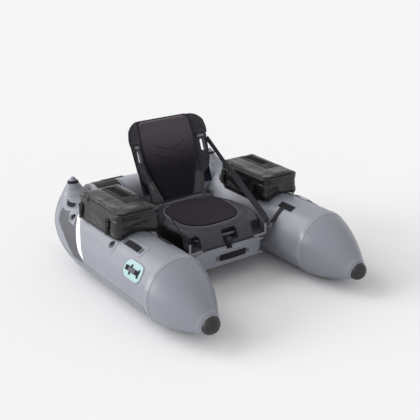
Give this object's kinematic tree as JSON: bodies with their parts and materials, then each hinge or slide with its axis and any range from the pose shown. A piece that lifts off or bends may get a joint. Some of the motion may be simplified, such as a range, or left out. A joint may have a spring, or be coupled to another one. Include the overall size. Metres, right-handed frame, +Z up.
{
  "type": "float tube",
  "caption": "Float tube with air tubes, a seat platform, a folding padded seat with an adjustable backrest, and lidded storage bags on the tubes",
  "frame": {"origin": "on the floor under the middle of the craft's bounding box", "axes": "+X across the craft; +Y from the noses to the tails; +Z up. Left and right in the names are as the craft is seen from its noses, so left is -X"},
  "size_m": [1.1446, 1.2292, 0.6589],
  "materials": {
    "hull_fabric": "coated fabric, light grey, satin",
    "keel_fabric": "thick coated fabric, grey",
    "rubber_cap": "moulded black rubber",
    "webbing": "woven black webbing with black plastic buckles",
    "mint_patch": "coated fabric, pale mint",
    "black_plastic": "moulded black plastic",
    "ring_metal": "dark grey plated wire",
    "bag_tarpaulin": "glossy dark grey tarpaulin",
    "seat_cover": "heavy woven cover, dark grey",
    "seat_foam": "moulded foam under thin black cloth",
    "pocket_fabric": "very dark blue cloth",
    "grey_plastic": "moulded grey plastic",
    "aluminium_tube": "bare drawn tube"
  },
  "bodies": {
    "hull": {"bag_harness_left": "webbing", "bag_harness_right": "webbing", "bag_tub_left": "bag_tarpaulin", "bag_tub_right": "bag_tarpaulin", "cross_tube": "hull_fabric", "front_strap": "webbing", "handle_front_left": "webbing", "handle_front_right": "webbing", "handle_patch_front_left": "hull_fabric", "handle_patch_front_right": "hull_fabric", "handle_patch_rear_left": "hull_fabric", "handle_patch_rear_right": "hull_fabric", "handle_rear_left": "webbing", "handle_rear_right": "webbing", "hinge_bracket_left": "grey_plastic", "hinge_bracket_right": "grey_plastic", "hinge_pin_left": "aluminium_tube", "hinge_pin_right": "aluminium_tube", "keel_skin_left": "keel_fabric", "keel_skin_right": "keel_fabric", "lashing_strap_left": "webbing", "lashing_strap_right": "webbing", "nose_cap_left": "rubber_cap", "nose_cap_right": "rubber_cap", "platform_handle": "webbing", "pontoon_left": "hull_fabric", "pontoon_right": "hull_fabric", "ring_patch_front_left": "hull_fabric", "ring_patch_front_right": "hull_fabric", "ring_patch_rear_left": "hull_fabric", "ring_patch_rear_right": "hull_fabric", "rod_strap": "webbing", "rod_strap_patch": "mint_patch", "seat_base": "seat_cover", "seat_bracket_left": "grey_plastic", "seat_bracket_right": "grey_plastic", "seat_frame_tube": "aluminium_tube", "seat_pad": "seat_foam", "seat_platform": "hull_fabric", "side_strap_left": "webbing", "side_strap_right": "webbing", "side_web_left": "hull_fabric", "side_web_right": "hull_fabric", "tail_strap_left": "webbing", "tail_strap_right": "webbing", "valve_left": "black_plastic", "valve_platform": "black_plastic", "valve_right": "black_plastic"},
    "backrest": {"back_shell": "seat_cover", "back_panel": "seat_foam", "back_pocket": "pocket_fabric"},
    "lid_left": {"bag_lid_left": "bag_tarpaulin"},
    "lid_right": {"bag_lid_right": "bag_tarpaulin"},
    "ring_front_left": {"d_ring_front_left": "ring_metal"},
    "ring_front_right": {"d_ring_front_right": "ring_metal"},
    "ring_rear_left": {"d_ring_rear_left": "ring_metal"},
    "ring_rear_right": {"d_ring_rear_right": "ring_metal"},
    "cap_left": {"valve_cap_left": "black_plastic"},
    "cap_right": {"valve_cap_right": "black_plastic"},
    "cap_platform": {"valve_cap_platform": "black_plastic"}
  },
  "joints": [
    {"name": "backrest_fold", "type": "hinge", "parent": "hull", "child": "backrest", "pos_m": [0, 0.22, 0.29], "axis": [1, 0, 0], "range_deg": [0, 100], "deforming": ["side_strap_left", "side_strap_right"]},
    {"name": "lid_left_open", "type": "hinge", "parent": "hull", "child": "lid_left", "pos_m": [-0.4085, 0.304, 0.3743], "axis": [-1, 0, 0], "range_deg": [0, 110]},
    {"name": "lid_right_open", "type": "hinge", "parent": "hull", "child": "lid_right", "pos_m": [0.4085, 0.304, 0.3743], "axis": [-1, 0, 0], "range_deg": [0, 110]},
    {"name": "ring_front_left_lift", "type": "hinge", "parent": "hull", "child": "ring_front_left", "pos_m": [-0.52628, -0.011, 0.27183], "axis": [0, 1, 0], "range_deg": [0, 130]},
    {"name": "ring_front_right_lift", "type": "hinge", "parent": "hull", "child": "ring_front_right", "pos_m": [0.52628, -0.011, 0.27183], "axis": [0, -1, 0], "range_deg": [0, 130]},
    {"name": "ring_rear_left_lift", "type": "hinge", "parent": "hull", "child": "ring_rear_left", "pos_m": [-0.52333, 0.34449, 0.27447], "axis": [0, 0.9772, 0.2122], "range_deg": [0, 130]},
    {"name": "ring_rear_right_lift", "type": "hinge", "parent": "hull", "child": "ring_rear_right", "pos_m": [0.52333, 0.34449, 0.27447], "axis": [0, -0.9772, -0.2122], "range_deg": [0, 130]},
    {"name": "cap_left_turn", "type": "hinge", "parent": "hull", "child": "cap_left", "pos_m": [-0.34138, 0.32519, 0.30498], "axis": [0.4695, -0.1423, 0.8714], "range_deg": [0, 90]},
    {"name": "cap_right_turn", "type": "hinge", "parent": "hull", "child": "cap_right", "pos_m": [0.34138, 0.32519, 0.30498], "axis": [-0.4695, -0.1423, 0.8714], "range_deg": [0, 90]},
    {"name": "cap_platform_turn", "type": "hinge", "parent": "hull", "child": "cap_platform", "pos_m": [0, 0.335, 0.1951], "axis": [0, 0, 1], "range_deg": [0, 90]}
  ]
}
